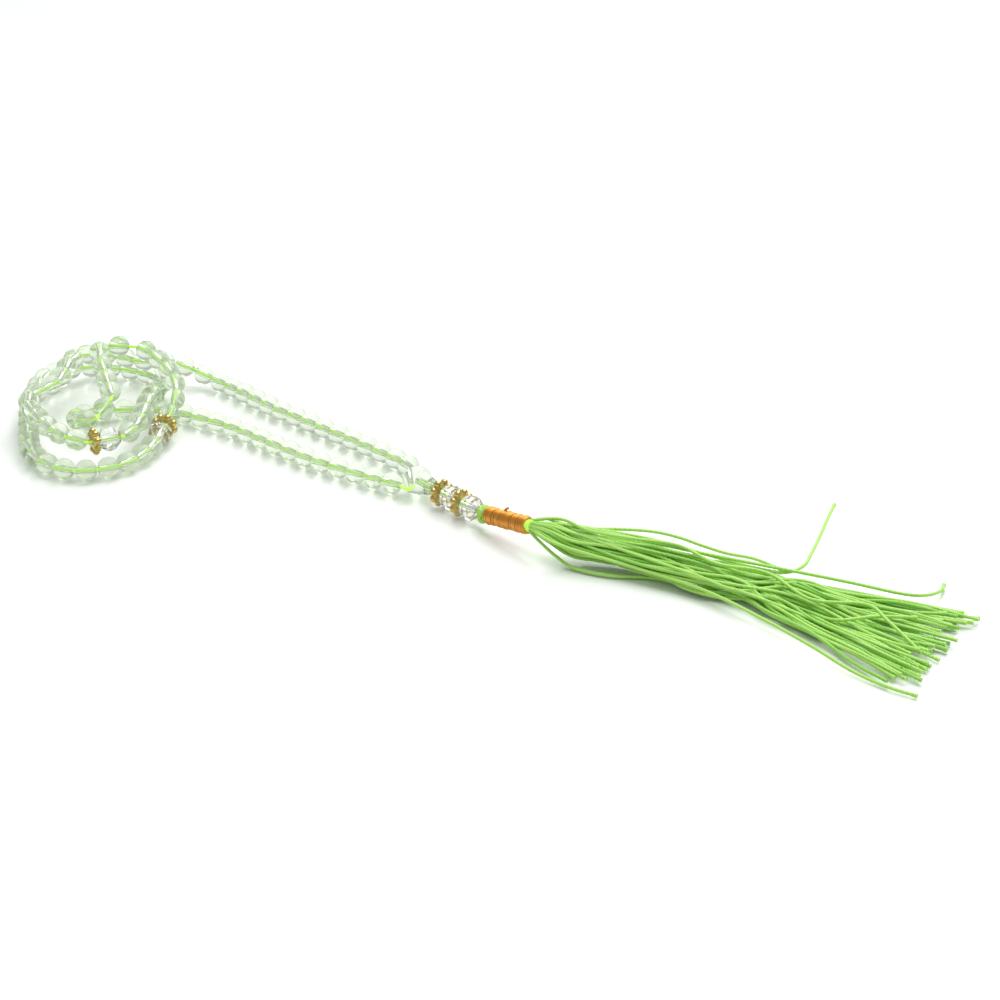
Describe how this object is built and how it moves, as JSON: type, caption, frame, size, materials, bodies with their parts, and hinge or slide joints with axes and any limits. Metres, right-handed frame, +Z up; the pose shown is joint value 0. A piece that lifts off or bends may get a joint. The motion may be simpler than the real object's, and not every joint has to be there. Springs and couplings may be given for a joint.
{
  "type": "misbaha prayer beads",
  "caption": "Strand of clear round beads on a lime cord, laid down in loops, with gold daisy markers, faceted pendant beads and a copper-bound lime thread tassel.",
  "frame": {"origin": "on the table, under the middle of the whole part", "axes": "+X from the laid loops towards the tassel tips, +Z up off the table"},
  "size_m": [0.2954, 0.0838, 0.0201],
  "materials": {
    "clear_bead": "polished",
    "gold_spacer": "bright plated",
    "copper_wire": "bright copper",
    "lime_cord": "twisted cord",
    "lime_thread": "twisted rayon thread"
  },
  "bodies": {
    "strand": {"strand_cord": "lime_cord", "leader_bead": "clear_bead", "pile_beads_1": "clear_bead", "pile_beads_2": "clear_bead", "pile_beads_3": "clear_bead", "pile_beads_4": "clear_bead", "pile_beads_5": "clear_bead", "pile_beads_6": "clear_bead"},
    "lower_bead_1": {"lower_bead_1": "clear_bead"},
    "lower_bead_2": {"lower_bead_2": "clear_bead"},
    "lower_bead_3": {"lower_bead_3": "clear_bead"},
    "lower_bead_4": {"lower_bead_4": "clear_bead"},
    "lower_bead_5": {"lower_bead_5": "clear_bead"},
    "lower_bead_6": {"lower_bead_6": "clear_bead"},
    "lower_bead_7": {"lower_bead_7": "clear_bead"},
    "lower_bead_8": {"lower_bead_8": "clear_bead"},
    "lower_bead_9": {"lower_bead_9": "clear_bead"},
    "lower_bead_10": {"lower_bead_10": "clear_bead"},
    "lower_bead_11": {"lower_bead_11": "clear_bead"},
    "lower_bead_12": {"lower_bead_12": "clear_bead"},
    "lower_bead_13": {"lower_bead_13": "clear_bead"},
    "lower_bead_14": {"lower_bead_14": "clear_bead"},
    "upper_bead_1": {"upper_bead_1": "clear_bead"},
    "upper_bead_2": {"upper_bead_2": "clear_bead"},
    "upper_bead_3": {"upper_bead_3": "clear_bead"},
    "upper_bead_4": {"upper_bead_4": "clear_bead"},
    "upper_bead_5": {"upper_bead_5": "clear_bead"},
    "upper_bead_6": {"upper_bead_6": "clear_bead"},
    "upper_bead_7": {"upper_bead_7": "clear_bead"},
    "upper_bead_8": {"upper_bead_8": "clear_bead"},
    "upper_bead_9": {"upper_bead_9": "clear_bead"},
    "upper_bead_10": {"upper_bead_10": "clear_bead"},
    "upper_bead_11": {"upper_bead_11": "clear_bead"},
    "upper_bead_12": {"upper_bead_12": "clear_bead"},
    "upper_bead_13": {"upper_bead_13": "clear_bead"},
    "upper_bead_14": {"upper_bead_14": "clear_bead"},
    "upper_bead_15": {"upper_bead_15": "clear_bead"},
    "upper_bead_16": {"upper_bead_16": "clear_bead"},
    "upper_bead_17": {"upper_bead_17": "clear_bead"},
    "upper_bead_18": {"upper_bead_18": "clear_bead"},
    "marker_daisy_1": {"marker_daisy_1": "gold_spacer"},
    "marker_bead_1": {"marker_bead_1": "clear_bead"},
    "marker_daisy_2": {"marker_daisy_2": "gold_spacer"},
    "marker_bead_2": {"marker_bead_2": "clear_bead"},
    "pendant": {"pendant_cord": "lime_cord"},
    "pendant_daisy_1": {"pendant_daisy_1": "gold_spacer"},
    "pendant_bead_1": {"pendant_bead_1": "clear_bead"},
    "pendant_daisy_2": {"pendant_daisy_2": "gold_spacer"},
    "pendant_bead_2": {"pendant_bead_2": "clear_bead"},
    "tassel": {"neck_knot": "lime_thread", "wire_binding": "copper_wire", "binding_core": "lime_thread", "tassel_root": "lime_thread", "tassel_far": "lime_thread", "tassel_mid": "lime_thread", "tassel_near": "lime_thread", "stray_up": "lime_thread", "stray_far": "lime_thread", "stray_near": "lime_thread"}
  },
  "joints": [
    {"name": "lower_bead_1_spin", "type": "hinge", "parent": "strand", "child": "lower_bead_1", "pos_m": [-0.01666, -0.00097, 0.00314], "axis": [-0.9974, 0.069, -0.0211], "continuous": true},
    {"name": "lower_bead_2_spin", "type": "hinge", "parent": "strand", "child": "lower_bead_2", "pos_m": [-0.02275, -0.00055, 0.00306], "axis": [-0.9976, 0.0688, -0.0033], "continuous": true},
    {"name": "lower_bead_3_spin", "type": "hinge", "parent": "strand", "child": "lower_bead_3", "pos_m": [-0.02883, -0.00011, 0.00306], "axis": [-0.9971, 0.076, 0.0015], "continuous": true},
    {"name": "lower_bead_4_spin", "type": "hinge", "parent": "strand", "child": "lower_bead_4", "pos_m": [-0.03491, 0.00036, 0.00306], "axis": [-0.997, 0.0777, 0], "continuous": true},
    {"name": "lower_bead_5_spin", "type": "hinge", "parent": "strand", "child": "lower_bead_5", "pos_m": [-0.04098, 0.00098, 0.00306], "axis": [-0.9923, 0.1238, 0], "continuous": true},
    {"name": "lower_bead_6_spin", "type": "hinge", "parent": "strand", "child": "lower_bead_6", "pos_m": [-0.04701, 0.00194, 0.00306], "axis": [-0.9816, 0.1911, 0], "continuous": true},
    {"name": "lower_bead_7_spin", "type": "hinge", "parent": "strand", "child": "lower_bead_7", "pos_m": [-0.05298, 0.00318, 0.00306], "axis": [-0.9761, 0.2172, 0], "continuous": true},
    {"name": "lower_bead_8_spin", "type": "hinge", "parent": "strand", "child": "lower_bead_8", "pos_m": [-0.05893, 0.00453, 0.00306], "axis": [-0.9746, 0.224, 0], "continuous": true},
    {"name": "lower_bead_9_spin", "type": "hinge", "parent": "strand", "child": "lower_bead_9", "pos_m": [-0.06485, 0.00597, 0.00306], "axis": [-0.9682, 0.25, 0], "continuous": true},
    {"name": "lower_bead_10_spin", "type": "hinge", "parent": "strand", "child": "lower_bead_10", "pos_m": [-0.07078, 0.00744, 0.00306], "axis": [-0.9727, 0.232, 0], "continuous": true},
    {"name": "lower_bead_11_spin", "type": "hinge", "parent": "strand", "child": "lower_bead_11", "pos_m": [-0.07676, 0.00862, 0.00306], "axis": [-0.9881, 0.1541, 0], "continuous": true},
    {"name": "lower_bead_12_spin", "type": "hinge", "parent": "strand", "child": "lower_bead_12", "pos_m": [-0.08282, 0.00932, 0.00306], "axis": [-0.9971, 0.0759, 0], "continuous": true},
    {"name": "lower_bead_13_spin", "type": "hinge", "parent": "strand", "child": "lower_bead_13", "pos_m": [-0.08891, 0.00964, 0.00306], "axis": [-0.9997, 0.0261, 0], "continuous": true},
    {"name": "lower_bead_14_spin", "type": "hinge", "parent": "strand", "child": "lower_bead_14", "pos_m": [-0.09501, 0.00959, 0.00306], "axis": [-0.9991, -0.0422, -0.0004], "continuous": true},
    {"name": "upper_bead_1_spin", "type": "hinge", "parent": "strand", "child": "upper_bead_1", "pos_m": [-0.11665, 0.02851, 0.00866], "axis": [0.6413, 0.7334, -0.2255], "continuous": true},
    {"name": "upper_bead_2_spin", "type": "hinge", "parent": "strand", "child": "upper_bead_2", "pos_m": [-0.11255, 0.03265, 0.00667], "axis": [0.6815, 0.5996, -0.4195], "continuous": true},
    {"name": "upper_bead_3_spin", "type": "hinge", "parent": "strand", "child": "upper_bead_3", "pos_m": [-0.10741, 0.03503, 0.0044], "axis": [0.9375, 0.1686, -0.3043], "continuous": true},
    {"name": "upper_bead_4_spin", "type": "hinge", "parent": "strand", "child": "upper_bead_4", "pos_m": [-0.10137, 0.03499, 0.00319], "axis": [0.9783, -0.1955, -0.0692], "continuous": true},
    {"name": "upper_bead_5_spin", "type": "hinge", "parent": "strand", "child": "upper_bead_5", "pos_m": [-0.09545, 0.03349, 0.00301], "axis": [0.956, -0.2933, 0.0095], "continuous": true},
    {"name": "upper_bead_6_spin", "type": "hinge", "parent": "strand", "child": "upper_bead_6", "pos_m": [-0.08963, 0.03163, 0.00305], "axis": [0.9487, -0.3161, 0.003], "continuous": true},
    {"name": "upper_bead_7_spin", "type": "hinge", "parent": "strand", "child": "upper_bead_7", "pos_m": [-0.08387, 0.02962, 0.00306], "axis": [0.9398, -0.3416, 0.0002], "continuous": true},
    {"name": "upper_bead_8_spin", "type": "hinge", "parent": "strand", "child": "upper_bead_8", "pos_m": [-0.07809, 0.02767, 0.00306], "axis": [0.9544, -0.2986, 0.0002], "continuous": true},
    {"name": "upper_bead_9_spin", "type": "hinge", "parent": "strand", "child": "upper_bead_9", "pos_m": [-0.07222, 0.02601, 0.00306], "axis": [0.9691, -0.2467, 0], "continuous": true},
    {"name": "upper_bead_10_spin", "type": "hinge", "parent": "strand", "child": "upper_bead_10", "pos_m": [-0.0663, 0.02454, 0.00306], "axis": [0.9726, -0.2323, 0], "continuous": true},
    {"name": "upper_bead_11_spin", "type": "hinge", "parent": "strand", "child": "upper_bead_11", "pos_m": [-0.06037, 0.0231, 0.00306], "axis": [0.9708, -0.24, 0], "continuous": true},
    {"name": "upper_bead_12_spin", "type": "hinge", "parent": "strand", "child": "upper_bead_12", "pos_m": [-0.05445, 0.02164, 0.00306], "axis": [0.9704, -0.2414, 0], "continuous": true},
    {"name": "upper_bead_13_spin", "type": "hinge", "parent": "strand", "child": "upper_bead_13", "pos_m": [-0.04854, 0.02015, 0.00306], "axis": [0.9699, -0.2436, 0], "continuous": true},
    {"name": "upper_bead_14_spin", "type": "hinge", "parent": "strand", "child": "upper_bead_14", "pos_m": [-0.04262, 0.01865, 0.00306], "axis": [0.9685, -0.2491, 0], "continuous": true},
    {"name": "upper_bead_15_spin", "type": "hinge", "parent": "strand", "child": "upper_bead_15", "pos_m": [-0.03672, 0.0171, 0.00306], "axis": [0.9657, -0.2597, 0], "continuous": true},
    {"name": "upper_bead_16_spin", "type": "hinge", "parent": "strand", "child": "upper_bead_16", "pos_m": [-0.03083, 0.01553, 0.00305], "axis": [0.9665, -0.2565, -0.0036], "continuous": true},
    {"name": "upper_bead_17_spin", "type": "hinge", "parent": "strand", "child": "upper_bead_17", "pos_m": [-0.02499, 0.01378, 0.00306], "axis": [0.9483, -0.3173, 0.0063], "continuous": true},
    {"name": "upper_bead_18_spin", "type": "hinge", "parent": "strand", "child": "upper_bead_18", "pos_m": [-0.01941, 0.01132, 0.00319], "axis": [0.8741, -0.4843, 0.0377], "continuous": true},
    {"name": "marker_daisy_1_spin", "type": "hinge", "parent": "strand", "child": "marker_daisy_1", "pos_m": [-0.09022, -0.00669, 0.00444], "axis": [0.3225, -0.932, -0.1654], "continuous": true},
    {"name": "marker_bead_1_spin", "type": "hinge", "parent": "strand", "child": "marker_bead_1", "pos_m": [-0.09022, -0.00669, 0.00444], "axis": [0.3225, -0.932, -0.1654], "continuous": true},
    {"name": "marker_daisy_2_spin", "type": "hinge", "parent": "strand", "child": "marker_daisy_2", "pos_m": [-0.09404, -0.02597, 0.008], "axis": [-0.503, -0.8642, 0.0095], "continuous": true},
    {"name": "marker_bead_2_spin", "type": "hinge", "parent": "strand", "child": "marker_bead_2", "pos_m": [-0.09404, -0.02597, 0.008], "axis": [-0.503, -0.8642, 0.0095], "continuous": true},
    {"name": "pendant_swing", "type": "hinge", "parent": "strand", "child": "pendant", "pos_m": [-0.0033, -0.00002, 0.004], "axis": [0, 0, 1], "range_deg": [-20, 20]},
    {"name": "pendant_daisy_1_spin", "type": "hinge", "parent": "pendant", "child": "pendant_daisy_1", "pos_m": [-0.00094, -0.00085, 0.004], "axis": [0.9426, -0.3338, 0], "continuous": true},
    {"name": "pendant_bead_1_spin", "type": "hinge", "parent": "pendant", "child": "pendant_bead_1", "pos_m": [0.00301, -0.00225, 0.004], "axis": [0.9426, -0.3338, 0], "continuous": true},
    {"name": "pendant_daisy_2_spin", "type": "hinge", "parent": "pendant", "child": "pendant_daisy_2", "pos_m": [0.00697, -0.00365, 0.004], "axis": [0.9426, -0.3338, 0], "continuous": true},
    {"name": "pendant_bead_2_spin", "type": "hinge", "parent": "pendant", "child": "pendant_bead_2", "pos_m": [0.01093, -0.00506, 0.004], "axis": [0.9426, -0.3338, 0], "continuous": true},
    {"name": "tassel_swing", "type": "hinge", "parent": "pendant", "child": "tassel", "pos_m": [0.014, -0.00614, 0.004], "axis": [0, 0, 1], "range_deg": [-25, 25]}
  ]
}
